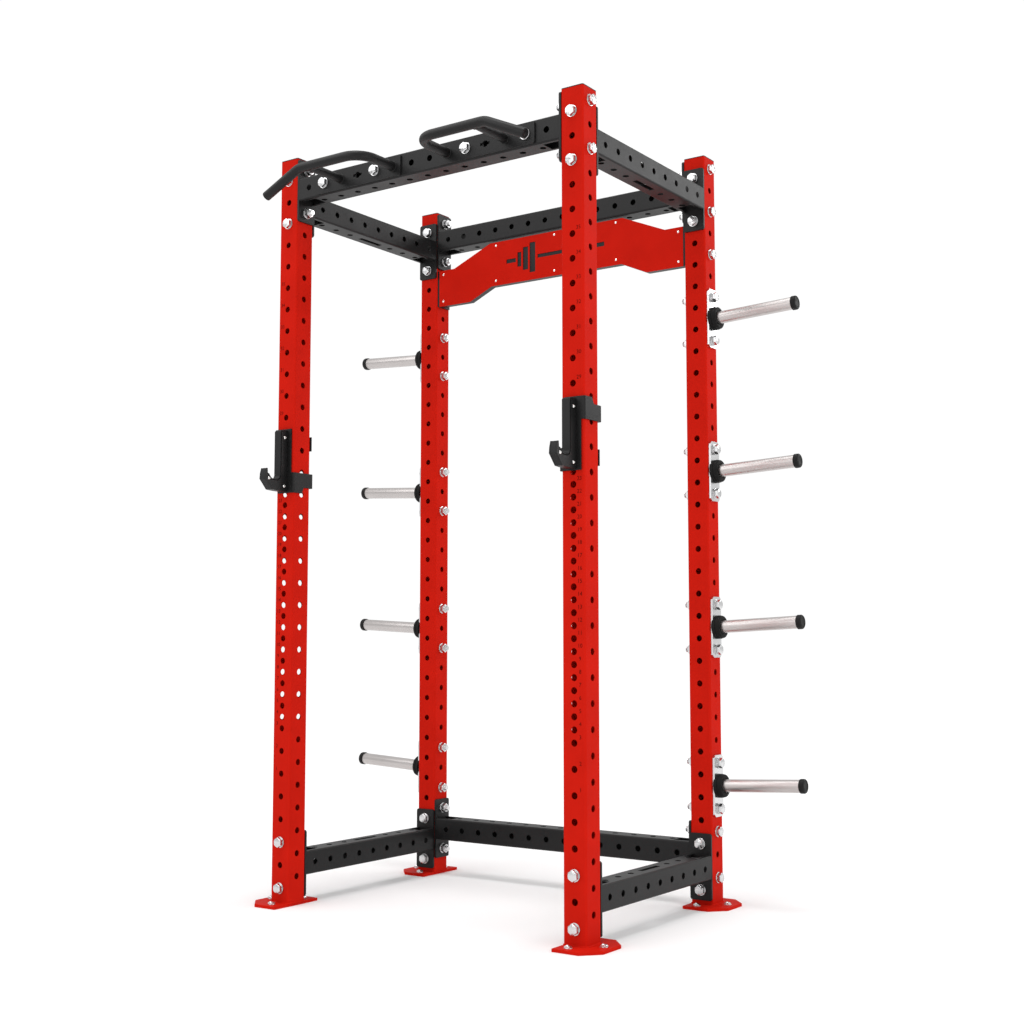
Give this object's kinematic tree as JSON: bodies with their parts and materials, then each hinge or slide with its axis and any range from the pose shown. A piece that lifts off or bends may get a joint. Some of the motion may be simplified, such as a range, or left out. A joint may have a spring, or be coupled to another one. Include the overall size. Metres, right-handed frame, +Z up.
{
  "type": "power cage",
  "caption": "Power cage with punched square uprights on floor plates, bolted cross-members, bent pull-up grips, angled plate pegs, a name panel and twist-lock bar hooks.",
  "frame": {"origin": "on the floor, at the centre of the cage's outline (the outline includes the pull-up grips in front and the feet behind)", "axes": "+Z up, +X to the right of a person who faces the cage, +Y from the open front to the rear"},
  "size_m": [1.903, 1.1215, 2.5756],
  "materials": {
    "red_powder_coat": "satin powder coat",
    "black_powder_coat": "fine textured powder coat",
    "zinc": "bright zinc plate",
    "bright_screws": "polished",
    "polished_sleeve": "fine turned",
    "black_plastic": "matt",
    "hook_liner": "matt machined plastic",
    "collar_rubber": "matt"
  },
  "bodies": {
    "cage": {"anchor_bolts": "zinc", "anchor_washers": "zinc", "bottom_beam_left": "black_powder_coat", "bottom_beam_left_end_plates": "black_powder_coat", "bottom_beam_rear": "black_powder_coat", "bottom_beam_rear_end_plates": "black_powder_coat", "bottom_beam_right": "black_powder_coat", "bottom_beam_right_end_plates": "black_powder_coat", "floor_plate_front_left": "red_powder_coat", "floor_plate_front_right": "red_powder_coat", "floor_plate_rear_left": "red_powder_coat", "floor_plate_rear_right": "red_powder_coat", "frame_bolts": "zinc", "grip_bolts": "zinc", "grip_brace_left": "black_powder_coat", "grip_brace_right": "black_powder_coat", "grip_plate_left": "black_powder_coat", "grip_plate_right": "black_powder_coat", "grip_plugs": "black_plastic", "grip_tube_left": "black_powder_coat", "grip_tube_right": "black_powder_coat", "name_panel": "red_powder_coat", "nuts": "zinc", "panel_brackets": "black_powder_coat", "panel_screws": "bright_screws", "panel_tray": "black_powder_coat", "peg_bolts": "zinc", "peg_collars": "collar_rubber", "peg_end_caps": "black_plastic", "peg_plates": "zinc", "peg_sleeves": "polished_sleeve", "top_beam_front": "black_powder_coat", "top_beam_front_end_plates": "black_powder_coat", "top_beam_left": "black_powder_coat", "top_beam_left_end_plates": "black_powder_coat", "top_beam_rear": "black_powder_coat", "top_beam_rear_end_plates": "black_powder_coat", "top_beam_right": "black_powder_coat", "top_beam_right_end_plates": "black_powder_coat", "upright_cap_front_left": "black_plastic", "upright_cap_front_right": "black_plastic", "upright_cap_rear_left": "black_plastic", "upright_cap_rear_right": "black_plastic", "upright_front_left": "red_powder_coat", "upright_front_right": "red_powder_coat", "upright_rear_left": "red_powder_coat", "upright_rear_right": "red_powder_coat", "washers": "zinc"},
    "j_cup_left": {"cup_bracket_left": "black_powder_coat", "cup_cheeks_left": "black_powder_coat", "cup_core_left": "hook_liner", "cup_pin_left": "zinc", "cup_screws_left": "bright_screws"},
    "j_cup_right": {"cup_bracket_right": "black_powder_coat", "cup_cheeks_right": "black_powder_coat", "cup_core_right": "hook_liner", "cup_pin_right": "zinc", "cup_screws_right": "bright_screws"}
  },
  "joints": [
    {"name": "j_cup_left_twist", "type": "hinge", "parent": "cage", "child": "j_cup_left", "pos_m": [-0.589, -0.37625, 1.5058], "axis": [0, -1, 0], "range_deg": [0, 90]},
    {"name": "j_cup_right_twist", "type": "hinge", "parent": "cage", "child": "j_cup_right", "pos_m": [0.589, -0.37625, 1.5058], "axis": [0, 1, 0], "range_deg": [0, 90]}
  ]
}
